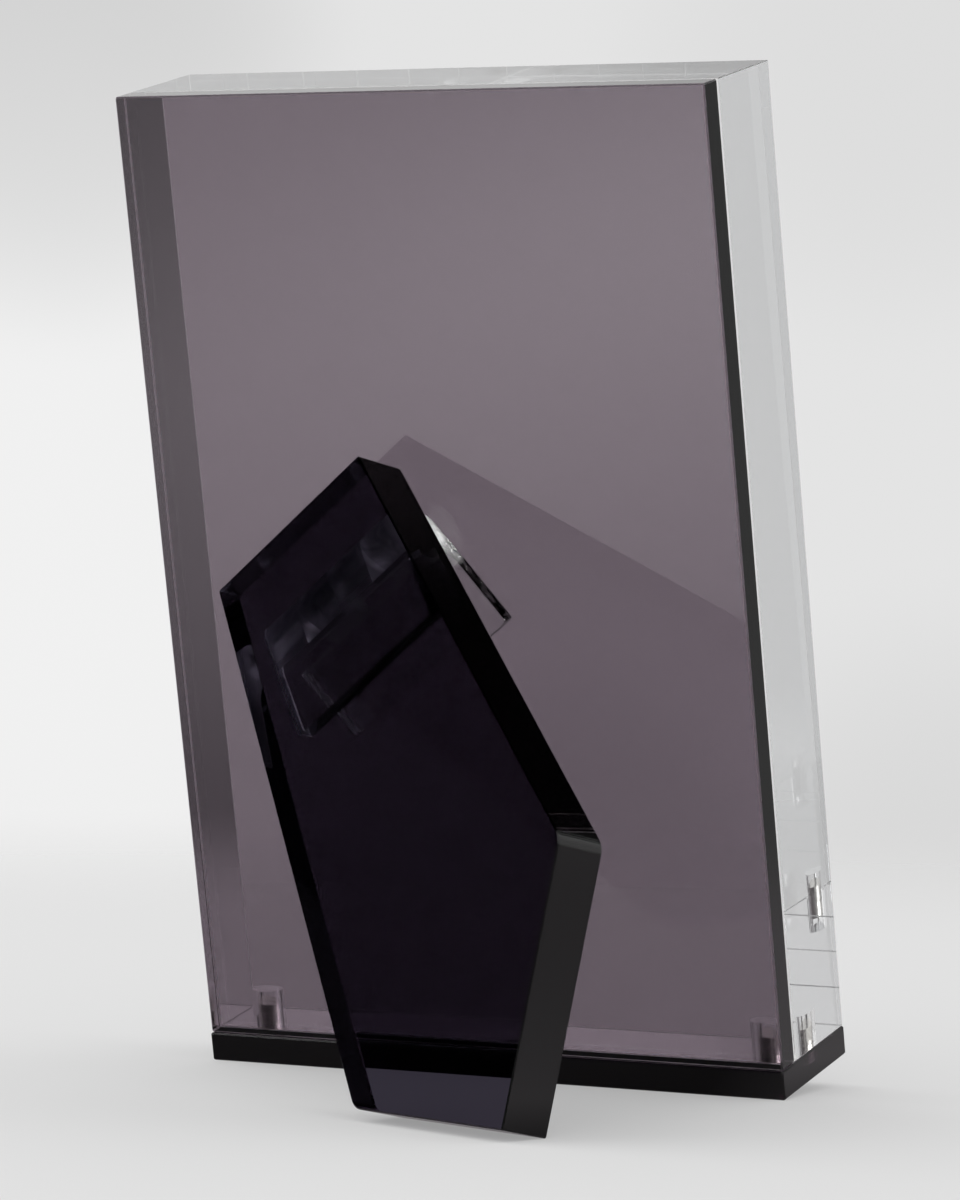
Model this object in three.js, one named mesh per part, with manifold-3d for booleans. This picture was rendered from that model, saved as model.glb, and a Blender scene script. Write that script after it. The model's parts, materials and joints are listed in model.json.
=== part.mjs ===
// Acrylic photo frame: a clear block is held by magnets on a dark base bar, in front of a smoked back
// panel, and a dark easel leg on a diagonal hinge props it up. Millimetres, Z up, display side to -Y.
import * as THREE from 'three';
import { mergeVertices } from 'three/addons/utils/BufferGeometryUtils.js';
import Module from 'manifold-3d';

// Display: the sheets that stand on the base bar
const frameWidth = 110;
const frameHeight = 166;
const panelThickness = 5;
const blockThickness = 20;
const baseThickness = 5;
const baseSideOverhang = 0.15;
const baseRearOverhang = 0.3;
const baseFrontOverhang = 0.3;
const edgeChamfer = 0.25;
const sheetCornerRadius = 0.4;
const blockEdgeChamfer = 0.1;
const blockCornerRadius = 0.2;

// Magnets that hold the block down on the base
const magnetDiameter = 6;
const magnetThickness = 3;
const magnetHoleDepth = 5.5;
const magnetInset = 6.6;

// Easel leg
const legThickness = 10;
const legLength = 121.8;
const legTopWidth = 38;
const legFlareFootSide = THREE.MathUtils.degToRad(5.2);
const legFlareTipSide = THREE.MathUtils.degToRad(7.2);
const legTipAngle = THREE.MathUtils.degToRad(92.3);
const legTipInset = 0.6;
const legTipFromHingeCentre = 1.2;
const legTopFromHingeCentre = 0.3;
const legCornerRadius = 3;
const openingAngle = THREE.MathUtils.degToRad(31.4);

// Hinge
const hingeTilt = THREE.MathUtils.degToRad(38.9);
const hingeLength = 34.4;
const knuckleCount = 4;
const axisToPanel = 3;
const axisToLeg = 3;
const knuckleRadius = 2.8;
const leafThickness = 2.5;
const leafRoot = 7.5;
const leafReach = 20.8;
const leafCornerRadius = 0.5;
const pinDiameter = 2;

// Clearances
const glueLine = 0.1;
const printSlot = 0.3;
const blockSeatGap = 0.1;
const magnetClearance = 0.1;
const pinClearance = 0.1;
const knuckleGap = 0.25;
const stopClearance = 0.2;

// How finely the round forms are faceted
const arcSteps = 6;
const roundSides = 64;

// Sizes that follow from the ones above
const panelHeight = frameHeight - glueLine;
const blockHeight = frameHeight - blockSeatGap;
const baseWidth = frameWidth + 2 * baseSideOverhang;
const frontStack = panelThickness + printSlot + blockThickness;
const baseDepth = baseRearOverhang + frontStack + baseFrontOverhang;
const blockMiddle = -panelThickness - printSlot - blockThickness / 2;
const magnetAcross = frameWidth / 2 - magnetInset;
const knucklePitch = hingeLength / knuckleCount;

// The leg opens until its top end meets the panel, which sets how far it reaches past the hinge
const stopHeight = axisToPanel + axisToLeg * Math.cos(openingAngle);
const chamferedStop = stopHeight + edgeChamfer * Math.sin(openingAngle);
const legAboveHinge = (chamferedStop - stopClearance) / Math.sin(openingAngle);
const legBelowHinge = legLength - legAboveHinge;

// The frame leans back until the whole foot edge of the opened leg lies on the table
const leanAngle = Math.atan(Math.cos(hingeTilt) * Math.tan(openingAngle / 2));

const clearAcrylic = { color: 0xeef1f0, roughness: 0.03, opacity: 0.25 };
const smokedAcrylic = { color: 0x6d6269, roughness: 0.04, opacity: 0.75 };
const darkAcrylic = { color: 0x1a171b, roughness: 0.05, opacity: 0.92 };
const blackAcrylic = { color: 0x100f0e, roughness: 0.06, opacity: 0.95 };
const hingePlastic = { color: 0xb5afb3, roughness: 0.12, opacity: 0.6 };
const nickel = { color: 0xc8c7c3, roughness: 0.2, metalness: 1 };

const wasm = await Module();
wasm.setup();

function solidOf(geometry) {
  const bare = geometry.clone();
  bare.deleteAttribute('normal');
  bare.deleteAttribute('uv');
  const merged = mergeVertices(bare);
  const vertProperties = merged.attributes.position.array;
  const triVerts = Uint32Array.from(merged.index.array);
  return new wasm.Manifold(new wasm.Mesh({ numProp: 3, vertProperties, triVerts }));
}

function geometryOf(solid) {
  const { vertProperties, triVerts } = solid.getMesh();
  const indexed = new THREE.BufferGeometry();
  indexed.setAttribute('position', new THREE.BufferAttribute(vertProperties, 3));
  indexed.setIndex(new THREE.BufferAttribute(triVerts, 1));
  const geometry = indexed.toNonIndexed();
  geometry.computeVertexNormals();
  return geometry;
}

function cut(geometry, ...cutters) {
  const shaped = cutters.reduce((solid, cutter) => solid.subtract(solidOf(cutter)), solidOf(geometry));
  return geometryOf(shaped);
}

function meshNamed(name, geometry, look) {
  const material = new THREE.MeshStandardMaterial({ ...look, transparent: 'opacity' in look });
  const mesh = new THREE.Mesh(geometry, material);
  mesh.name = name;
  return mesh;
}

// An outline through counter-clockwise corners. The first corner is a rounded one.
function outlineThrough(corners) {
  const shape = new THREE.Shape();
  corners.forEach(({ at, radius }, i) => {
    if (radius === 0) {
      shape.lineTo(at.x, at.y);
      return;
    }
    const arriving = at.clone().sub(corners.at(i - 1).at).normalize();
    const leaving = corners[(i + 1) % corners.length].at.clone().sub(at).normalize();
    const inward = leaving.clone().sub(arriving).normalize();
    const halfTurn = arriving.angleTo(leaving) / 2;
    const centre = at.clone().addScaledVector(inward, radius / Math.cos(halfTurn));
    const normalAngles = [arriving, leaving].map((direction) => direction.angle() - Math.PI / 2);
    shape.absarc(centre.x, centre.y, radius, ...normalAngles);
  });
  shape.closePath();
  return shape;
}

function rectangle(width, height, radius) {
  const signs = [[-1, -1], [1, -1], [1, 1], [-1, 1]];
  return outlineThrough(signs.map(([sx, sy]) => ({
    at: new THREE.Vector2((sx * width) / 2, (sy * height) / 2),
    radius,
  })));
}

// A sheet from z = 0 to its thickness, with its face edges chamfered
function sheet(outline, thickness, chamfer) {
  const geometry = new THREE.ExtrudeGeometry(outline, {
    depth: thickness - 2 * chamfer,
    bevelThickness: chamfer,
    bevelSize: chamfer,
    bevelOffset: -chamfer,
    bevelSegments: 1,
    curveSegments: arcSteps,
  });
  geometry.translate(0, 0, chamfer);
  return geometry;
}

// A standing sheet, its rear face at y = 0 and its lower edge at z = 0
function standingSheet(height, thickness, radius, chamfer) {
  const geometry = sheet(rectangle(frameWidth, height, radius), thickness, chamfer);
  geometry.rotateX(Math.PI / 2);
  geometry.translate(0, 0, height / 2);
  return geometry;
}

// An upright cylinder between two heights
function upright(diameter, from, to) {
  const geometry = new THREE.CylinderGeometry(diameter / 2, diameter / 2, to - from, roundSides);
  geometry.rotateX(Math.PI / 2);
  geometry.translate(0, 0, (from + to) / 2);
  return geometry;
}

function alongHinge(diameter, length) {
  const geometry = new THREE.CylinderGeometry(diameter / 2, diameter / 2, length, roundSides);
  geometry.rotateZ(Math.PI / 2);
  return geometry;
}

// Holes for the magnets, drilled from the underside of the block or the top of the base
function magnetHoles(from, to) {
  const diameter = magnetDiameter + 2 * magnetClearance;
  return [-magnetAcross, magnetAcross].map((x) => upright(diameter, from, to).translate(x, blockMiddle, 0));
}

function backPanel() {
  const panel = standingSheet(panelHeight, panelThickness, sheetCornerRadius, edgeChamfer);
  const mesh = meshNamed('back_panel', panel, smokedAcrylic);
  mesh.position.z = baseThickness + glueLine;
  return mesh;
}

function baseBar() {
  const bar = sheet(rectangle(baseWidth, baseDepth, sheetCornerRadius), baseThickness, edgeChamfer);
  bar.translate(0, baseRearOverhang - baseDepth / 2, 0);
  const pocketFloor = baseThickness - magnetThickness - magnetClearance;
  const geometry = cut(bar, ...magnetHoles(pocketFloor, baseThickness + 1));
  return meshNamed('base_bar', geometry, blackAcrylic);
}

function frontBlock() {
  const floor = baseThickness + blockSeatGap;
  const block = standingSheet(blockHeight, blockThickness, blockCornerRadius, blockEdgeChamfer);
  block.translate(0, -panelThickness - printSlot, floor);
  const geometry = cut(block, ...magnetHoles(floor - 1, floor + magnetHoleDepth));
  return meshNamed('front_block', geometry, clearAcrylic);
}

function magnets() {
  const blockFloor = baseThickness + blockSeatGap;
  const rows = { block: blockFloor, base: baseThickness - magnetThickness };
  const sides = { left: magnetAcross, right: -magnetAcross };
  return Object.entries(rows).flatMap(([row, z]) => Object.entries(sides).map(([side, x]) => {
    const mesh = meshNamed(`${row}_magnet_${side}`, upright(magnetDiameter, 0, magnetThickness), nickel);
    mesh.position.set(x, blockMiddle, z);
    return mesh;
  }));
}

function crossing(from, direction, point, heading) {
  const between = point.clone().sub(from);
  const along = between.cross(heading) / direction.cross(heading);
  return from.clone().addScaledVector(direction, along);
}

// The leg in its own plane: x along the hinge pin, y from the foot past the hinge, pin at y = 0
function easelLeg() {
  const tip = new THREE.Vector2(-legTipFromHingeCentre, -legBelowHinge);
  const footEdge = new THREE.Vector2(-Math.cos(hingeTilt), Math.sin(hingeTilt));
  const sideEdge = footEdge.clone().rotateAround(new THREE.Vector2(), -legTipAngle);
  const topFoot = new THREE.Vector2(-legTopWidth / 2 - legTopFromHingeCentre, legAboveHinge);
  const topTip = new THREE.Vector2(legTopWidth / 2 - legTopFromHingeCentre, legAboveHinge);
  const footFlank = new THREE.Vector2(-Math.sin(legFlareFootSide), -Math.cos(legFlareFootSide));
  const tipFlank = new THREE.Vector2(Math.sin(legFlareTipSide), -Math.cos(legFlareTipSide));
  const outline = outlineThrough([
    { at: tip, radius: sheetCornerRadius },
    { at: crossing(tip, sideEdge, topTip, tipFlank), radius: legCornerRadius },
    { at: topTip, radius: sheetCornerRadius },
    { at: topFoot, radius: sheetCornerRadius },
    { at: crossing(tip, footEdge, topFoot, footFlank), radius: legCornerRadius },
  ]);
  const mesh = meshNamed('easel_leg', sheet(outline, legThickness, edgeChamfer), darkAcrylic);
  mesh.position.z = axisToLeg;
  return mesh;
}

// Side view of a leaf: a plate on its mounting face, and a ramp up to the knuckle round the pin
function leafProfile() {
  const under = glueLine - axisToPanel;
  const top = under + leafThickness;
  const rootDistance = Math.hypot(leafRoot, top);
  const rampEnd = Math.atan2(top, -leafRoot) + 2 * Math.PI - Math.acos(knuckleRadius / rootDistance);
  const profile = new THREE.Shape();
  profile.moveTo(-leafReach, under);
  profile.lineTo(-leafRoot, under);
  profile.absarc(0, 0, knuckleRadius, -Math.PI / 2, rampEnd, false);
  profile.lineTo(-leafRoot, top);
  profile.lineTo(-leafReach, top);
  return profile;
}

// Plan of a leaf: rounded free corners, and notches for the other leaf's knuckles
function leafPlan() {
  const end = hingeLength / 2;
  const past = 2 * knuckleRadius;
  const corners = [
    { at: new THREE.Vector2(-end, -leafReach), radius: leafCornerRadius },
    { at: new THREE.Vector2(end, -leafReach), radius: leafCornerRadius },
  ];
  const addSquare = (x, y) => corners.push({ at: new THREE.Vector2(x, y), radius: 0 });
  for (let slot = knuckleCount - 1; slot >= 0; slot -= 1) {
    const ownKnuckle = slot % 2 === 1;
    const right = -end + (slot + 1) * knucklePitch;
    const left = right - knucklePitch;
    const rightGap = slot === knuckleCount - 1 ? 0 : knuckleGap / 2;
    if (ownKnuckle) {
      addSquare(right - rightGap, past);
      addSquare(left + knuckleGap / 2, past);
    } else {
      addSquare(right + knuckleGap / 2, -leafRoot);
      addSquare(left - (slot === 0 ? 0 : knuckleGap / 2), -leafRoot);
    }
  }
  return outlineThrough(corners);
}

function hingeLeaf() {
  const blank = new THREE.ExtrudeGeometry(leafProfile(), {
    depth: hingeLength,
    bevelEnabled: false,
    curveSegments: roundSides,
  });
  // the profile's own x and y turn into the hinge's y and z, and its depth runs along the pin
  const toHinge = new THREE.Matrix4().makeBasis(
    new THREE.Vector3(0, 1, 0),
    new THREE.Vector3(0, 0, 1),
    new THREE.Vector3(1, 0, 0),
  );
  blank.applyMatrix4(toHinge);
  blank.translate(-hingeLength / 2, 0, 0);
  const plan = new THREE.ExtrudeGeometry(leafPlan(), {
    depth: 4 * axisToPanel,
    bevelEnabled: false,
    curveSegments: arcSteps,
  });
  plan.translate(0, 0, -2 * axisToPanel);
  const bore = alongHinge(pinDiameter + 2 * pinClearance, hingeLength + 2);
  return geometryOf(solidOf(blank).intersect(solidOf(plan)).subtract(solidOf(bore)));
}

// The hinge's own frame: x along the pin, y up the folded leg, z out of the panel's rear face.
// The leg and its leaf turn about x, and the leaf is the panel's own one turned over.
function hingeAndLeg() {
  const hinge = new THREE.Group();
  hinge.add(meshNamed('hinge_leaf_panel', hingeLeaf(), hingePlastic));
  hinge.add(meshNamed('hinge_pin', alongHinge(pinDiameter, hingeLength), hingePlastic));

  const swing = new THREE.Group();
  const legLeaf = meshNamed('hinge_leaf_leg', hingeLeaf(), hingePlastic);
  legLeaf.rotation.y = Math.PI;
  swing.add(easelLeg(), legLeaf);
  swing.rotation.x = -openingAngle;
  hinge.add(swing);

  const alongPin = new THREE.Vector3(-Math.cos(hingeTilt), 0, Math.sin(hingeTilt));
  const upLeg = new THREE.Vector3(Math.sin(hingeTilt), 0, Math.cos(hingeTilt));
  const outOfPanel = new THREE.Vector3(0, 1, 0);
  hinge.setRotationFromMatrix(new THREE.Matrix4().makeBasis(alongPin, upLeg, outOfPanel));
  hinge.position.set(hingeAcross(), axisToPanel, hingeHeight());
  return hinge;
}

// Folded flat, the leg's tip lies just inside the frame's side
function hingeAcross() {
  const tipAcross = legBelowHinge * Math.sin(hingeTilt) - legTipFromHingeCentre * Math.cos(hingeTilt);
  return -(frameWidth / 2 - legTipInset - tipAcross);
}

// Opened, the foot edge's chamfer stands on the same table as the base's rear edge
function hingeHeight() {
  const [lean, open] = [leanAngle, openingAngle];
  const footBack = axisToPanel + axisToLeg * Math.cos(open) + legBelowHinge * Math.sin(open);
  const openRise = Math.cos(hingeTilt) * Math.cos(lean) * Math.sin(open);
  const legFaceRise = openRise - Math.sin(lean) * Math.cos(open);
  const tableLevel = -(baseRearOverhang - edgeChamfer) * Math.sin(lean);
  const tipUp = (footBack * Math.sin(lean) - edgeChamfer * legFaceRise + tableLevel) / Math.cos(lean);
  const tipBelowPin = legBelowHinge * Math.cos(open) - axisToLeg * Math.sin(open);
  const tipDrop = Math.cos(hingeTilt) * tipBelowPin + Math.sin(hingeTilt) * legTipFromHingeCentre;
  return tipUp + tipDrop;
}

const leaning = new THREE.Group();
leaning.add(backPanel(), baseBar(), frontBlock(), ...magnets(), hingeAndLeg());
leaning.rotation.x = -leanAngle;
leaning.position.z = (baseRearOverhang - edgeChamfer) * Math.sin(leanAngle);

// The origin is on the table, under the middle of the frame and its opened leg
const group = new THREE.Group();
group.add(leaning);
const middle = new THREE.Box3().setFromObject(group, true).getCenter(new THREE.Vector3());
leaning.position.x = -middle.x;
leaning.position.y = -middle.y;

export default group;
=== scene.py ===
import json
import math
import random

import bmesh
import bpy
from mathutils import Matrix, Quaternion, Vector

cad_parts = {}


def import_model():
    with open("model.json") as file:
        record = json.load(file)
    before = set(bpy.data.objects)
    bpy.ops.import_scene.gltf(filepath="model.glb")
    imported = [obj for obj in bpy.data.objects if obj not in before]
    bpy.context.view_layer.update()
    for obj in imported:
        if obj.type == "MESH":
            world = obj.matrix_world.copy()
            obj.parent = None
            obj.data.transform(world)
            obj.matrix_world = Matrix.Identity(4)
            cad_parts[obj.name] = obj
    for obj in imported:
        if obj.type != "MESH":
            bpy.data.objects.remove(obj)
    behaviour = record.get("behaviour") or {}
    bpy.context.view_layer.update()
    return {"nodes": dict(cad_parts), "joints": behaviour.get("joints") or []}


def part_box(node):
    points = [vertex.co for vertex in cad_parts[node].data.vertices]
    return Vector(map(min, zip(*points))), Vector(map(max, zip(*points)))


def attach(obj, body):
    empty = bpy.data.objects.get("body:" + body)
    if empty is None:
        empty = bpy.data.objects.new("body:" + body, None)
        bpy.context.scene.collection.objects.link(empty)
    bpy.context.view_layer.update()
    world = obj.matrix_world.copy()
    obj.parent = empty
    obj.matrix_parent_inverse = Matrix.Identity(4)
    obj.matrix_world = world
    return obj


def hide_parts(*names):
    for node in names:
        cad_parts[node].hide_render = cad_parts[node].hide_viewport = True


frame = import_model()

# Lengths are in metres and angles in degrees. Pairs are a start and an end, or a low and a high value.
ACROSS = Vector((1.0, 0.0, 0.0))

# The photograph's view, found from the corners of the sheets and of the leg
CAMERA_AZIMUTH = 207.35
CAMERA_ELEVATION = 1.72
CAMERA_ROLL = 0.585
CAMERA_DISTANCE = 0.8994
CAMERA_TARGET = Vector((-0.00748, -0.00376, 0.08294))
CAMERA_LENS_MM = 161.5
CAMERA_CLIP_START = 0.05
SENSOR_MM = 36.0

# Acrylic: what it absorbs of red, green and blue per metre, and its polish
ACRYLIC_IOR = 1.49
SMOKE_ABSORPTION = (302.0, 343.0, 309.0)
DARK_ABSORPTION = (245.0, 256.0, 225.0)
CLEAR_ABSORPTION = (1.3, 1.24, 1.2)
LAMP_SHARE_LET_BY = 0.92
POLISH_ROUGHNESS = (0.0, 0.012)
SMEAR_SCALE = 45.0
SMEAR_DETAIL = 5.0
SMEAR_DISTORTION = 1.2
SMEAR_NOISE = (0.45, 0.8)
WAVE_SCALE = 14.0
WAVE_DETAIL = 1.0
WAVE_HEIGHT = 1.5e-5

# The magnets, and the block's holes for them, measured from a magnet's axis and from its middle
BLOCK_MAGNETS = ("block_magnet_left", "block_magnet_right")
BASE_MAGNETS = ("base_magnet_left", "base_magnet_right")
BORE_REACH = 0.0033
BORE_END = 0.004
BORE_FADE = 0.0001
BORE_ROUGHNESS = 0.13

# Bevels of the block and the panel
BLOCK_EDGE_REACH = 0.00013
PANEL_EDGE_REACH = 0.00027
EDGE_ROUGHNESS = 0.5
MORE_THAN_ONE_FACE = 1.5

# The hinge's plastic, by the distance from its axis and the place along it, near end positive
HINGE_COLOR = (0.97, 0.98, 0.97, 1.0)
HINGE_ABSORPTION = (10.0, 9.0, 10.0)
BARREL_REACH = (0.0048, 0.0032)
RAMP_REACH = (0.0088, 0.0078)
FLOW_SCALE = 260.0
FLOW_DETAIL = 4.0
FLOW_DISTORTION = 0.8
FLOW_HEIGHT = 6e-5
LEAF_FLOW = (0.4, 0.8)
LEAF_ROUGHNESS = (0.01, 0.08)
BARREL_FLOW = (0.3, 0.7)
BARREL_ROUGHNESS = (0.03, 0.12)
BARREL_MILK = (0.1, 0.5)
# The near end's extra milk is painted light: the end is made whiter where light falls on it
PAINTED_LIGHT_END = (0.013, 0.016)
PAINTED_LIGHT_END_MILK = 0.5
RAMP_MILK = 0.12
BARREL_SCATTER = 0.005
FAR_END = (-0.0165, -0.0171)
FAR_END_ROUGHNESS = 0.5
NEAR_END = (0.0165, 0.0171)
GRIT_SCALE = 420.0
GRIT_DETAIL = 2.0
GRIT_NOISE = (0.52, 0.72)
GRIT_HEIGHT = 4e-4

# Hinge leaves: the cement under them, and their moulded edges
CEMENT_GAP = 0.0002
CEMENT_DEPTH = 0.00005
LEAF_EDGE_RADIUS = 0.00025
LEAF_EDGE_STEPS = 3
LEAF_BORE_CLEAR = 0.0022
SAME_POINT = 1e-6
FLAT_ANGLE = 0.6
CRISP_ANGLE = 35.0
SMOOTH_ANGLE = 28.0
LARGE_FACE_WEIGHT = 100
FACING_COSINE = 0.8

# The cement between the panel and the bar
PANEL_GLUE_LINE = 0.0001
CEMENT_SQUEEZE = 0.00012
CEMENT_RIM_STEPS = 80
CEMENT_SEED = 7
ON_FACE = 1e-5
CEMENT_CLOUD_SCALE = 160.0
CEMENT_CLOUD_DETAIL = 4.0
CEMENT_COLORS = ((0.004, 0.004, 0.004, 1.0), (0.012, 0.011, 0.011, 1.0))
CEMENT_ROUGHNESS = 0.6

# The magnets' plating
TARNISH_SCALE = 900.0
TARNISH_DETAIL = 3.0
NICKEL_ROUGHNESS = (0.12, 0.32)
NICKEL_COLORS = ((0.62, 0.6, 0.56, 1.0), (0.78, 0.77, 0.74, 1.0))

# The floor, as linear light
FLOOR_RADIUS = 0.7
FLOOR_STEPS = 96
FLOOR_FADE_START = 0.3
FLOOR_ALBEDO = 0.72
FLOOR_SEEN_LEVEL = 0.75
# Seen through the sheets the floor glows dimmer: painted shade of the frame on the floor near it
FLOOR_PAINTED_SHADE_LEVEL_THROUGH_SHEETS = 0.66
FLOOR_GLOW_SHARE = 0.4
FLOOR_GLOW_SHARE_THROUGH_SHEETS = 0.75

# The floor as the sheets mirror it, a painted glow: a painted pool of light on the camera's side, and a
# painted pale stretch at the right
PAINTED_MIRROR_GLOW_COLOR = (1.0, 0.94, 0.98, 1.0)
POOL_CENTRE = (0.12, 0.42)
POOL_SPREAD = (0.15, 0.19)
PAINTED_POOL_LEVEL = 2.4
FAR_SIDE = (-0.04, -0.075)
FAR_SIDE_PAINTED_LEVEL = 0.38

# The backdrop, as linear light, which rises between two heights of the direction's unit vector
BACKDROP_LEVEL = 0.775
SKY_LEVEL = 1.1
SKY_HEIGHTS = (0.25, 0.8)

# Zones of the backdrop: azimuth, elevation, the angle from there with full effect, the angle where it
# ends, and the share of the light taken, negative where light is added. These act on all rays but the
# camera's.
ZONES_IN_SHEETS = (
    # What the right ends of the block, panel and bar mirror
    (333.9, 1.7, 10.0, 22.0, 0.66),
    # What the leg's broad face mirrors
    (111.7, 12.7, 9.0, 18.0, 1.0),
    # Seen through the leg's left edge
    (325.5, 34.5, 3.0, 5.5, 1.0),
    # What the rim of the panel's hinge leaf and the leg's corner mirror, then the end of the bar's bevel
    (338.0, 35.3, 3.5, 6.5, 0.985),
    (338.6, 34.9, 0.6, 0.95, -36.0),
    # What the leg's side mirrors by way of the panel and block: most of it, its top, just above its corner
    (351.0, 34.5, 4.0, 7.0, 0.965),
    (353.5, 36.5, 0.5, 3.1, -7.0),
    (12.0, 33.0, 1.0, 2.8, 0.92),
    # What the leg's lower bevels mirror, then the top bevels of the panel and block
    (189.0, 9.0, 12.0, 22.0, 1.0),
    (115.6, 73.7, 18.0, 28.0, 1.0),
    # Seen low through the block's side, then through the panel's lower right
    (24.5, 29.0, 2.6, 3.6, 0.2),
    (26.5, -5.0, 0.5, 3.0, 0.14),
    # What the block's top face mirrors, then the light band low in the panel, then the top's right end
    (29.0, 18.0, 3.0, 7.0, -0.08),
    (31.0, 27.0, 1.0, 3.5, -0.07),
    (25.3, 18.0, 0.8, 3.0, 0.2),
    # Seen through the strip at the left: at mid height, then high
    (329.5, -1.0, 0.3, 2.6, -0.2),
    (329.5, 4.0, 0.5, 2.5, 0.1),
)
# Painted light and shade on the backdrop, seen only by the camera behind the frame: at the left, top left,
# top right and bottom right
PAINTED_BACKDROP_ZONES = (
    (31.8, -1.3, 0.0, 6.5, -0.13),
    (31.9, 4.0, 0.0, 3.4, 0.16),
    (23.1, 4.1, 0.0, 3.4, 0.06),
    (22.2, -5.7, 0.0, 4.5, 0.11),
)

# Softboxes: place, what it aims at, width and height, and watts
TOP_SOFTBOX = ((0.62, 0.22, 1.05), (0.1, 0.1, 0.0), (0.9, 0.9), 5.7)
SIDE_SOFTBOX = ((-0.78, 0.2, 0.75), (0.0, 0.0, 0.08), (0.4, 0.4), 20.0)
GLINT_SOFTBOX = ((-0.745, 0.024, 0.095), (0.0, -0.036, 0.01), (0.1, 0.15), 4.0)
FAR_END_SOFTBOX = ((0.5, 0.12, 0.05), (0.02, 0.0, 0.072), (0.2, 0.2), 5.0)
# The low softbox has a direction and a distance from the origin for its place
LOW_SOFTBOX_DIRECTION = (272.0, 17.0)
LOW_SOFTBOX_DISTANCE = 0.8
LOW_SOFTBOX = ((0.0, 0.0, 0.01), (0.65, 0.18), 0.9)


def looking(azimuth, elevation):
    """The unit vector towards this azimuth and elevation, azimuth 0 along -Y."""
    across, up = math.radians(azimuth), math.radians(elevation)
    return Vector((math.sin(across) * math.cos(up), -math.cos(across) * math.cos(up), math.sin(up)))


def joint_named(name):
    return next(joint for joint in frame["joints"] if joint["name"] == name)


def sheets_up():
    """The direction up the leaning sheets, along which the block lifts."""
    return Vector(joint_named("block_lift")["axis"])


def hinge_line():
    """A point on the hinge's axis, and its direction."""
    joint = joint_named("leg_fold")
    return Vector(joint["pos_m"]), Vector(joint["axis"])


def placed(name, data):
    """A new object of this mesh, lamp or camera, in the scene."""
    made = bpy.data.objects.new(name, data)
    bpy.context.scene.collection.objects.link(made)
    return made


def node(tree, kind, inputs=None, **settings):
    """Adds a shader node, with its settings, and its inputs set or linked by name or number."""
    made = tree.nodes.new(kind)
    for name, value in settings.items():
        setattr(made, name, value)
    for socket, value in (inputs or {}).items():
        if isinstance(value, bpy.types.NodeSocket):
            tree.links.new(value, made.inputs[socket])
        else:
            made.inputs[socket].default_value = value
    return made


def math_node(tree, operation, a, b=0.0, clamp=False):
    return node(tree, "ShaderNodeMath", {0: a, 1: b}, operation=operation, use_clamp=clamp).outputs[0]


def vector_node(tree, operation, a, b=None, result="Vector"):
    inputs = {0: a} if b is None else {0: a, 1: b}
    return node(tree, "ShaderNodeVectorMath", inputs, operation=operation).outputs[result]


def ramp_node(tree, value, start, end, low=0.0, high=1.0, smooth=False):
    """Goes from low at start to high at end, and stays level past them."""
    inputs = {"Value": value, "From Min": start, "From Max": end, "To Min": low, "To Max": high}
    kind = "SMOOTHSTEP" if smooth else "LINEAR"
    return node(tree, "ShaderNodeMapRange", inputs, interpolation_type=kind).outputs[0]


def noise(tree, place, scale, detail, distortion=0.0):
    inputs = {"Vector": place, "Scale": scale, "Detail": detail, "Distortion": distortion}
    return node(tree, "ShaderNodeTexNoise", inputs).outputs["Fac"]


def bumped(tree, height, distance, **normal):
    inputs = {"Height": height, "Strength": 1.0, "Distance": distance, **normal}
    return node(tree, "ShaderNodeBump", inputs).outputs[0]


def mixed_value(tree, share, first, second):
    return node(tree, "ShaderNodeMix", {0: share, 2: first, 3: second}, data_type="FLOAT").outputs[0]


def mixed_color(tree, share, first, second):
    return node(tree, "ShaderNodeMix", {0: share, 6: first, 7: second}, data_type="RGBA").outputs[2]


def mixed_shader(tree, share, first, second):
    return node(tree, "ShaderNodeMixShader", {0: share, 1: first, 2: second}).outputs[0]


def object_place(tree):
    return node(tree, "ShaderNodeTexCoord").outputs["Object"]


def around_axis(tree, place, point, axis):
    """How far a place lies from an axis, and how far along it from the point."""
    arm = vector_node(tree, "SUBTRACT", place, point)
    reach = vector_node(tree, "LENGTH", vector_node(tree, "CROSS_PRODUCT", arm, axis), result="Value")
    along = vector_node(tree, "DOT_PRODUCT", arm, axis, result="Value")
    return reach, along


def blank_material(name):
    material = bpy.data.materials.new(name)
    material.use_nodes = True
    material.node_tree.nodes.clear()
    return material, material.node_tree


def lets_lamps_through(tree, shader):
    """A shader that rays from lamps pass, so that the floor gets the light that the sheets let by."""
    is_shadow = node(tree, "ShaderNodeLightPath").outputs["Is Shadow Ray"]
    color = (LAMP_SHARE_LET_BY, LAMP_SHARE_LET_BY, LAMP_SHARE_LET_BY, 1.0)
    clear = node(tree, "ShaderNodeBsdfTransparent", {"Color": color}).outputs[0]
    return mixed_shader(tree, is_shadow, shader, clear)


def absorption(tree, per_metre):
    """Volume absorption with these coefficients for red, green and blue."""
    density = max(per_metre)
    color = [1.0 - value / density for value in per_metre] + [1.0]
    return node(tree, "ShaderNodeVolumeAbsorption", {"Color": color, "Density": density}).outputs[0]


def handled_surface(tree):
    """Roughness with faint smears, and a normal with the slow waves of a polished sheet."""
    place = object_place(tree)
    smears = noise(tree, place, SMEAR_SCALE, SMEAR_DETAIL, SMEAR_DISTORTION)
    waves = noise(tree, place, WAVE_SCALE, WAVE_DETAIL)
    return ramp_node(tree, smears, *SMEAR_NOISE, *POLISH_ROUGHNESS), bumped(tree, waves, WAVE_HEIGHT)


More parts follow.
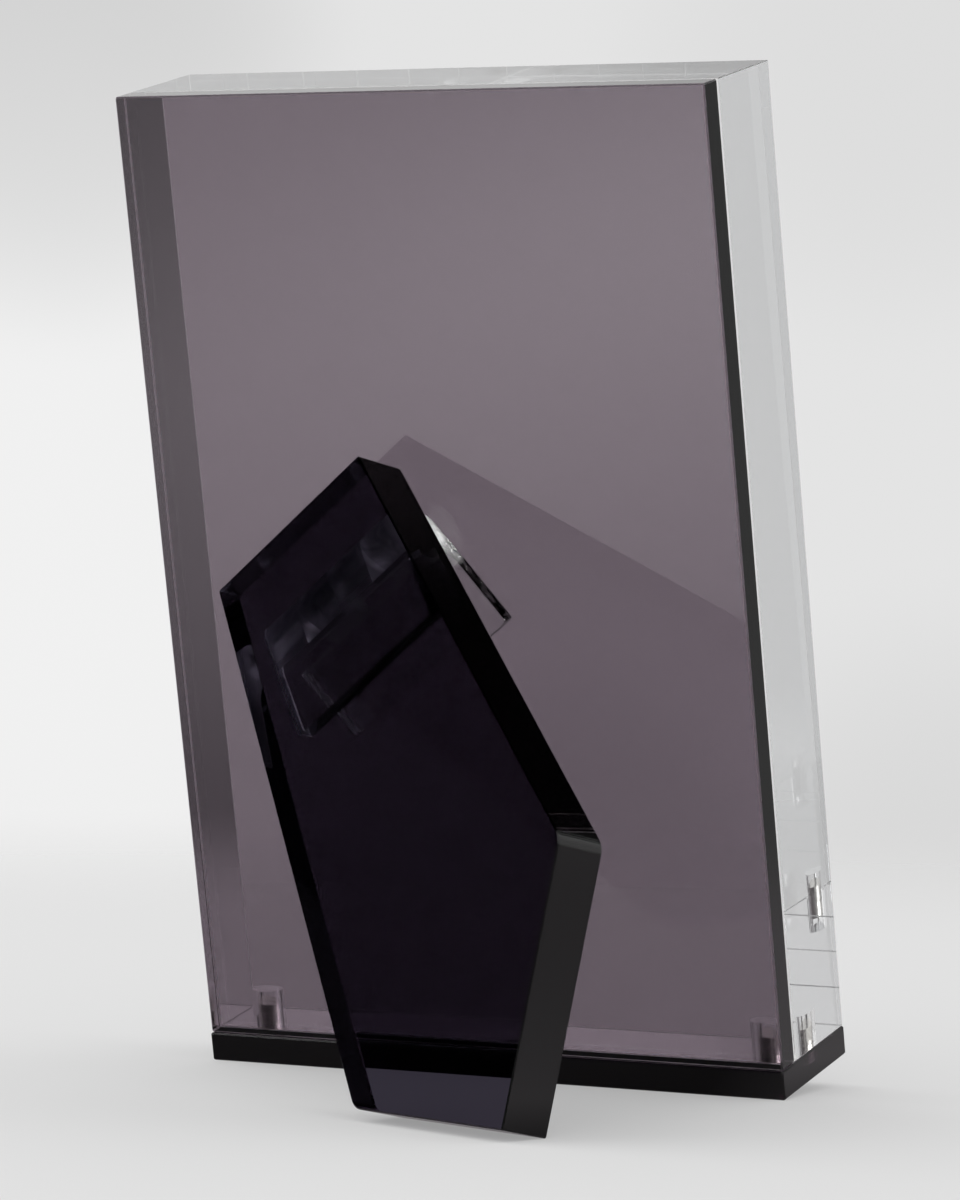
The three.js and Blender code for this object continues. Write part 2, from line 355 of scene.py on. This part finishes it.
def matte_bores(tree, rough, magnets):
    """Roughness raised on the walls of the holes that these magnets sit in."""
    place = object_place(tree)
    for magnet in magnets:
        low, high = (Vector(corner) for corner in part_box(magnet))
        reach, depth = around_axis(tree, place, (low + high) / 2, sheets_up())
        below_end = math_node(tree, "LESS_THAN", depth, BORE_END - BORE_FADE)
        wall = ramp_node(tree, reach, BORE_REACH + BORE_FADE, BORE_REACH, high=BORE_ROUGHNESS)
        rough = math_node(tree, "MAXIMUM", rough, math_node(tree, "MULTIPLY", wall, below_end))
    return rough


def buffed_edges(tree, rough, name, reach):
    """Roughness raised on the narrow bevels between the flat faces of a sheet."""
    place = object_place(tree)
    up = sheets_up()
    near_faces = 0.0
    for axis in (ACROSS, up, up.cross(ACROSS)):
        spots = [vert.co.dot(axis) for vert in frame["nodes"][name].data.vertices]
        middle, half = (max(spots) + min(spots)) / 2, (max(spots) - min(spots)) / 2
        spot = vector_node(tree, "DOT_PRODUCT", place, axis, result="Value")
        offset = math_node(tree, "ABSOLUTE", math_node(tree, "SUBTRACT", spot, middle))
        near_face = math_node(tree, "GREATER_THAN", offset, half - reach)
        near_faces = math_node(tree, "ADD", near_faces, near_face)
    edge = math_node(tree, "GREATER_THAN", near_faces, MORE_THAN_ONE_FACE)
    return math_node(tree, "MAXIMUM", rough, math_node(tree, "MULTIPLY", edge, EDGE_ROUGHNESS))


def acrylic(name, per_metre, bores=(), buffed=None):
    """Polished acrylic, matte in the holes of these magnets and on the bevels of the buffed sheet."""
    material, tree = blank_material(name)
    rough, normal = handled_surface(tree)
    rough = matte_bores(tree, rough, bores)
    if buffed:
        rough = buffed_edges(tree, rough, *buffed)
    shader = node(tree, "ShaderNodeBsdfPrincipled", {
        "Base Color": (1.0, 1.0, 1.0, 1.0), "Transmission Weight": 1.0, "IOR": ACRYLIC_IOR,
        "Roughness": rough, "Normal": normal})
    surface = lets_lamps_through(tree, shader.outputs[0])
    node(tree, "ShaderNodeOutputMaterial", {"Surface": surface, "Volume": absorption(tree, per_metre)})
    return material


def moulded_roughness(tree, ramp, flow, along):
    """Polished on the leaves, duller towards the barrel, and matte at the far end."""
    leaf = ramp_node(tree, flow, *LEAF_FLOW, *LEAF_ROUGHNESS)
    barrel = ramp_node(tree, flow, *BARREL_FLOW, *BARREL_ROUGHNESS)
    far_end = ramp_node(tree, along, *FAR_END, high=FAR_END_ROUGHNESS)
    return math_node(tree, "MAXIMUM", mixed_value(tree, ramp, leaf, barrel), far_end)


def moulded_milk(tree, ramp, flow, reach, along):
    """The share of milky plastic: cloudy on the barrel, most at its near end as painted light, and faint on
    the ramps.
    """
    barrel = ramp_node(tree, reach, *BARREL_REACH, smooth=True)
    cloud = ramp_node(tree, flow, *BARREL_FLOW, *BARREL_MILK)
    # Painted light: the near end is made whiter where light falls on it
    end = ramp_node(tree, along, *PAINTED_LIGHT_END, high=PAINTED_LIGHT_END_MILK, smooth=True)
    milk = math_node(tree, "MULTIPLY", barrel, math_node(tree, "MAXIMUM", cloud, end))
    return math_node(tree, "ADD", milk, math_node(tree, "MULTIPLY", ramp, RAMP_MILK), clamp=True)


def moulded_bump(tree, place, flow, along):
    """The plastic's flow lines, and the grit left on the near end where it was cut."""
    grit = noise(tree, place, GRIT_SCALE, GRIT_DETAIL)
    near_end = ramp_node(tree, along, *NEAR_END)
    flash = ramp_node(tree, grit, *GRIT_NOISE, high=near_end)
    return bumped(tree, flash, GRIT_HEIGHT, Normal=bumped(tree, flow, FLOW_HEIGHT))


def hinge_plastic(name):
    """Clear moulded plastic, milky on the barrel."""
    material, tree = blank_material(name)
    place = object_place(tree)
    reach, along = around_axis(tree, place, *hinge_line())
    flow = noise(tree, place, FLOW_SCALE, FLOW_DETAIL, FLOW_DISTORTION)
    ramp = ramp_node(tree, reach, *RAMP_REACH, smooth=True)
    clear = math_node(tree, "SUBTRACT", 1.0, moulded_milk(tree, ramp, flow, reach, along))
    shader = node(tree, "ShaderNodeBsdfPrincipled", {
        "Base Color": HINGE_COLOR, "Transmission Weight": clear, "IOR": ACRYLIC_IOR,
        "Subsurface Weight": 1.0, "Subsurface Radius": (1.0, 1.0, 1.0), "Subsurface Scale": BARREL_SCATTER,
        "Roughness": moulded_roughness(tree, ramp, flow, along),
        "Normal": moulded_bump(tree, place, flow, along)})
    surface = lets_lamps_through(tree, shader.outputs[0])
    volume = absorption(tree, HINGE_ABSORPTION)
    node(tree, "ShaderNodeOutputMaterial", {"Surface": surface, "Volume": volume})
    return material


def cement_black(name):
    """The dark bar seen through clear cement: no gloss between them, faint cloudiness."""
    material, tree = blank_material(name)
    cloud = noise(tree, object_place(tree), CEMENT_CLOUD_SCALE, CEMENT_CLOUD_DETAIL)
    shader = node(tree, "ShaderNodeBsdfPrincipled", {
        "Base Color": mixed_color(tree, cloud, *CEMENT_COLORS), "Roughness": CEMENT_ROUGHNESS,
        "Specular IOR Level": 0.0})
    node(tree, "ShaderNodeOutputMaterial", {"Surface": shader.outputs[0]})
    return material


def nickel(name):
    """Nickel plating, with tarnish that dulls and darkens it in spots."""
    material, tree = blank_material(name)
    tarnish = noise(tree, object_place(tree), TARNISH_SCALE, TARNISH_DETAIL)
    shader = node(tree, "ShaderNodeBsdfPrincipled", {
        "Base Color": mixed_color(tree, tarnish, *NICKEL_COLORS), "Metallic": 1.0,
        "Roughness": ramp_node(tree, tarnish, 0.0, 1.0, *NICKEL_ROUGHNESS)})
    node(tree, "ShaderNodeOutputMaterial", {"Surface": shader.outputs[0]})
    return material


def facing_plane(name, direction):
    """The largest flat face of a node that looks this way: its normal and its distance from the origin."""
    mesh = frame["nodes"][name].data
    facing = (face for face in mesh.polygons if face.normal.dot(direction) > FACING_COSINE)
    largest = max(facing, key=lambda face: face.area)
    normal = largest.normal.copy()
    return normal, normal.dot(mesh.vertices[largest.vertices[0]].co)


def bonded_leaf(name, body, carrier, direction, material):
    """A hinge leaf with softened edges, its underside let into the sheet that it is cemented to."""
    normal, level = facing_plane(carrier, direction)
    pivot, axis = hinge_line()
    edit = bmesh.new()
    edit.from_mesh(frame["nodes"][name].data)
    bmesh.ops.remove_doubles(edit, verts=edit.verts, dist=SAME_POINT)
    bmesh.ops.dissolve_limit(
        edit, angle_limit=math.radians(FLAT_ANGLE), verts=edit.verts, edges=edit.edges)

    def glued(vert):
        return vert.co.dot(normal) - level < CEMENT_GAP

    def outside_bore(vert):
        return (vert.co - pivot).cross(axis).length > LEAF_BORE_CLEAR

    sharp = [
        edge for edge in edit.edges
        if edge.is_manifold and edge.calc_face_angle_signed() > math.radians(CRISP_ANGLE)]
    crisp = [
        edge for edge in sharp
        if not all(glued(vert) for vert in edge.verts) and all(outside_bore(vert) for vert in edge.verts)]
    bmesh.ops.bevel(
        edit, geom=crisp, offset=LEAF_EDGE_RADIUS, offset_type="OFFSET", segments=LEAF_EDGE_STEPS,
        profile=0.5, affect="EDGES", clamp_overlap=True)
    for vert in edit.verts:
        if glued(vert):
            vert.co -= normal * (vert.co.dot(normal) - level + CEMENT_DEPTH)
    mesh = bpy.data.meshes.new(f"{name}_moulded")
    edit.to_mesh(mesh)
    edit.free()
    for attribute in [a.name for a in mesh.attributes if a.name == "custom_normal"]:
        mesh.attributes.remove(mesh.attributes[attribute])
    mesh.polygons.foreach_set("use_smooth", [True] * len(mesh.polygons))
    mesh.set_sharp_from_angle(angle=math.radians(SMOOTH_ANGLE))
    mesh.materials.clear()
    mesh.materials.append(material)
    piece = placed(f"{name}_moulded", mesh)
    even = piece.modifiers.new("even_faces", "WEIGHTED_NORMAL")
    even.keep_sharp = True
    even.weight = LARGE_FACE_WEIGHT
    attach(piece, body)
    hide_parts(name)


def panel_cement(material):
    """The film of cement between the panel and the bar, uneven where it was squeezed out."""
    up = sheets_up()
    deep = up.cross(ACROSS)
    normal, level = facing_plane("back_panel", -up)
    corners = [vert.co for vert in frame["nodes"]["back_panel"].data.vertices]
    low_face = [corner for corner in corners if abs(corner.dot(normal) - level) < ON_FACE]
    left, right = (pick(corner.dot(ACROSS) for corner in low_face) for pick in (min, max))
    near, far = (pick(corner.dot(deep) for corner in low_face) for pick in (min, max))
    draw = random.Random(CEMENT_SEED)
    along = [(right - left) * i / CEMENT_RIM_STEPS for i in range(CEMENT_RIM_STEPS + 1)]
    rim = [(left + x, near - draw.uniform(0.0, CEMENT_SQUEEZE)) for x in along]
    rim += [(right - x, far + draw.uniform(0.0, CEMENT_SQUEEZE)) for x in along]
    top = -level + CEMENT_DEPTH
    bottom = -level - PANEL_GLUE_LINE - CEMENT_DEPTH
    points = [ACROSS * x + deep * y + up * z for z in (bottom, top) for x, y in rim]
    count = len(rim)
    sides = [(i, (i + 1) % count, count + (i + 1) % count, count + i) for i in range(count)]
    mesh = bpy.data.meshes.new("panel_cement")
    mesh.from_pydata(points, [], [tuple(range(count))[::-1], tuple(range(count, 2 * count)), *sides])
    edit = bmesh.new()
    edit.from_mesh(mesh)
    bmesh.ops.recalc_face_normals(edit, faces=edit.faces)
    edit.to_mesh(mesh)
    edit.free()
    mesh.materials.append(material)
    piece = placed("panel_cement", mesh)
    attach(piece, "frame")


def dress(material, *names):
    for name in names:
        materials = frame["nodes"][name].data.materials
        materials.clear()
        materials.append(material)


def dress_frame():
    block_edges = ("front_block", BLOCK_EDGE_REACH)
    panel_edges = ("back_panel", PANEL_EDGE_REACH)
    dress(acrylic("clear_acrylic", CLEAR_ABSORPTION, BLOCK_MAGNETS, block_edges), "front_block")
    dress(acrylic("smoked_acrylic", SMOKE_ABSORPTION, buffed=panel_edges), "back_panel")
    dress(acrylic("black_acrylic", SMOKE_ABSORPTION), "base_bar")
    dress(acrylic("dark_acrylic", DARK_ABSORPTION), "easel_leg")
    moulded = hinge_plastic("hinge_plastic")
    dress(moulded, "hinge_leaf_panel", "hinge_leaf_leg", "hinge_pin")
    bonded_leaf("hinge_leaf_panel", "frame", "back_panel", Vector((0.0, 1.0, 0.0)), moulded)
    bonded_leaf("hinge_leaf_leg", "leg", "easel_leg", Vector((0.0, -1.0, 0.0)), moulded)
    panel_cement(cement_black("cement_black"))
    dress(nickel("magnet_nickel"), *BLOCK_MAGNETS, *BASE_MAGNETS)


def gaussian(tree, value, centre, spread):
    """exp(-((value - centre) / spread)^2 / 2)"""
    offset = math_node(tree, "DIVIDE", math_node(tree, "SUBTRACT", value, centre), spread)
    square = math_node(tree, "MULTIPLY", offset, offset)
    return math_node(tree, "EXPONENT", math_node(tree, "MULTIPLY", square, -0.5))


def painted_mirrored_floor(tree, place):
    """The floor as the sheets mirror it, a painted glow: painted shade close by, with a painted pool of
    light and a painted pale stretch.
    """
    at = node(tree, "ShaderNodeSeparateXYZ", {0: place}).outputs
    pool_across, pool_deep = (
        gaussian(tree, at[axis], centre, spread)
        for axis, centre, spread in zip("XY", POOL_CENTRE, POOL_SPREAD))
    painted_pool = math_node(tree, "MULTIPLY", pool_across, pool_deep)
    painted_far_side = ramp_node(tree, at["X"], *FAR_SIDE, high=FAR_SIDE_PAINTED_LEVEL)
    level = math_node(tree, "ADD", math_node(tree, "MULTIPLY", painted_pool, PAINTED_POOL_LEVEL), painted_far_side)
    return node(tree, "ShaderNodeEmission", {"Color": PAINTED_MIRROR_GLOW_COLOR, "Strength": level}).outputs[0]


def floor_paper(name):
    """Pale paper, partly an even glow to the camera and through the sheets, dimmer through them as painted
    shade, that fades out at the rim.
    """
    material, tree = blank_material(name)
    place = object_place(tree)
    path = node(tree, "ShaderNodeLightPath").outputs
    color = (FLOOR_ALBEDO, FLOOR_ALBEDO, FLOOR_ALBEDO, 1.0)
    paper = node(tree, "ShaderNodeBsdfDiffuse", {"Color": color}).outputs[0]
    # The dimmer glow through the sheets is painted shade
    level = mixed_value(tree, path["Is Camera Ray"], FLOOR_PAINTED_SHADE_LEVEL_THROUGH_SHEETS, FLOOR_SEEN_LEVEL)
    glow = node(tree, "ShaderNodeEmission", {"Strength": level}).outputs[0]
    glow_share = math_node(
        tree, "ADD",
        math_node(tree, "MULTIPLY", path["Is Transmission Ray"], FLOOR_GLOW_SHARE_THROUGH_SHEETS),
        math_node(tree, "MULTIPLY", path["Is Camera Ray"], FLOOR_GLOW_SHARE))
    seen = mixed_shader(tree, glow_share, paper, glow)
    # Mirrored rays see the floor's painted light and shade instead of the lit paper
    mirrored = math_node(tree, "MULTIPLY", path["Is Glossy Ray"], path["Is Reflection Ray"])
    seen = mixed_shader(tree, mirrored, seen, painted_mirrored_floor(tree, place))
    reach = vector_node(tree, "LENGTH", place, result="Value")
    fade = ramp_node(tree, reach, FLOOR_FADE_START, FLOOR_RADIUS, smooth=True)
    clear = node(tree, "ShaderNodeBsdfTransparent").outputs[0]
    node(tree, "ShaderNodeOutputMaterial", {"Surface": mixed_shader(tree, fade, seen, clear)})
    return material


def floor():
    """A pale disc that fades out into the backdrop."""
    mesh = bpy.data.meshes.new("floor")
    turn = [2 * math.pi * i / FLOOR_STEPS for i in range(FLOOR_STEPS)]
    rim = [(FLOOR_RADIUS * math.cos(a), FLOOR_RADIUS * math.sin(a), 0.0) for a in turn]
    mesh.from_pydata(rim, [], [tuple(range(FLOOR_STEPS))])
    mesh.materials.append(floor_paper("floor"))
    disc = placed("floor", mesh)


def toward(tree, direction, target, inner, outer):
    """1 where the world's direction is within inner degrees of the target, 0 past outer degrees."""
    cosine = vector_node(tree, "DOT_PRODUCT", direction, target, result="Value")
    return ramp_node(
        tree, cosine, math.cos(math.radians(outer)), math.cos(math.radians(inner)), smooth=True)


def shaded(tree, level, direction, zones):
    """The level times one minus the share taken inside each zone of directions."""
    for azimuth, elevation, inner, outer, taken in zones:
        mask = toward(tree, direction, looking(azimuth, elevation), inner, outer)
        kept = math_node(tree, "SUBTRACT", 1.0, math_node(tree, "MULTIPLY", mask, taken))
        level = math_node(tree, "MULTIPLY", level, kept)
    return level


def world():
    """A pale backdrop all round, brighter above, with the studio's dark sides where the sheets see them,
    and painted lighter and darker patches where only the camera sees it.
    """
    sky = bpy.data.worlds.new("studio")
    sky.use_nodes = True
    tree = sky.node_tree
    tree.nodes.clear()
    direction = node(tree, "ShaderNodeTexCoord").outputs["Generated"]
    height = node(tree, "ShaderNodeSeparateXYZ", {0: direction}).outputs["Z"]
    lift = ramp_node(tree, height, *SKY_HEIGHTS, BACKDROP_LEVEL, SKY_LEVEL)
    level = shaded(tree, lift, direction, ZONES_IN_SHEETS)
    # Painted light and shade on the backdrop, for camera rays only
    painted_backdrop = shaded(tree, BACKDROP_LEVEL, direction, PAINTED_BACKDROP_ZONES)
    is_camera = node(tree, "ShaderNodeLightPath").outputs["Is Camera Ray"]
    strength = mixed_value(tree, is_camera, level, painted_backdrop)
    background = node(tree, "ShaderNodeBackground", {"Color": (1.0, 1.0, 1.0, 1.0), "Strength": strength})
    node(tree, "ShaderNodeOutputWorld", {"Surface": background.outputs[0]})
    bpy.context.scene.world = sky


def softbox(name, place, target, size, power):
    """A rectangular lamp that no mirrored or refracted ray finds."""
    lamp = bpy.data.lights.new(name, "AREA")
    lamp.shape = "RECTANGLE"
    lamp.size, lamp.size_y = size
    lamp.energy = power
    holder = placed(name, lamp)
    holder.visible_glossy = False
    holder.visible_transmission = False
    holder.location = place
    holder.rotation_euler = (Vector(target) - Vector(place)).to_track_quat("-Z", "Y").to_euler()
    return holder


def show_in_sheets(lamp):
    """Lets mirrored and refracted rays find a lamp, though the camera doesn't."""
    lamp.visible_camera = False
    lamp.visible_glossy = True
    lamp.visible_transmission = True


def light_only(lamp, name, pieces):
    """Keeps a lamp's light to these pieces, where mirrored and refracted rays find it."""
    lit = bpy.data.collections.new(name)
    for piece in pieces:
        lit.objects.link(piece)
    lamp.light_linking.receiver_collection = lit
    show_in_sheets(lamp)


def lights():
    softbox("top_softbox", *TOP_SOFTBOX)
    side = softbox("side_softbox", *SIDE_SOFTBOX)
    low_place = looking(*LOW_SOFTBOX_DIRECTION) * LOW_SOFTBOX_DISTANCE
    low = softbox("low_softbox", low_place, *LOW_SOFTBOX)
    show_in_sheets(low)
    glint = softbox("glint_softbox", *GLINT_SOFTBOX)
    far = softbox("far_end_softbox", *FAR_END_SOFTBOX)
    leaves = [bpy.data.objects[f"hinge_leaf_{sheet}_moulded"] for sheet in ("panel", "leg")]
    light_only(side, "hinge_pieces", [*leaves, frame["nodes"]["hinge_pin"]])
    light_only(far, "hinge_far_pieces", leaves)
    light_only(glint, "magnets", [frame["nodes"][name] for name in (*BLOCK_MAGNETS, *BASE_MAGNETS)])


def camera():
    away = looking(CAMERA_AZIMUTH, CAMERA_ELEVATION)
    data = bpy.data.cameras.new("camera")
    data.lens = CAMERA_LENS_MM
    data.sensor_width = SENSOR_MM
    data.clip_start = CAMERA_CLIP_START
    holder = placed("camera", data)
    upright = away.to_track_quat("Z", "Y")
    roll = Quaternion((0.0, 0.0, 1.0), math.radians(CAMERA_ROLL))
    holder.rotation_mode = "QUATERNION"
    holder.rotation_quaternion = upright @ roll
    holder.location = CAMERA_TARGET + away * CAMERA_DISTANCE
    bpy.context.scene.camera = holder


def render_settings():
    scene = bpy.context.scene
    scene.view_settings.view_transform = "Standard"
    scene.cycles.max_bounces = 40
    scene.cycles.transmission_bounces = 36
    scene.cycles.glossy_bounces = 24
    scene.cycles.transparent_max_bounces = 24
    scene.cycles.caustics_refractive = False
    scene.cycles.caustics_reflective = False


camera()
dress_frame()
floor()
world()
lights()
render_settings()
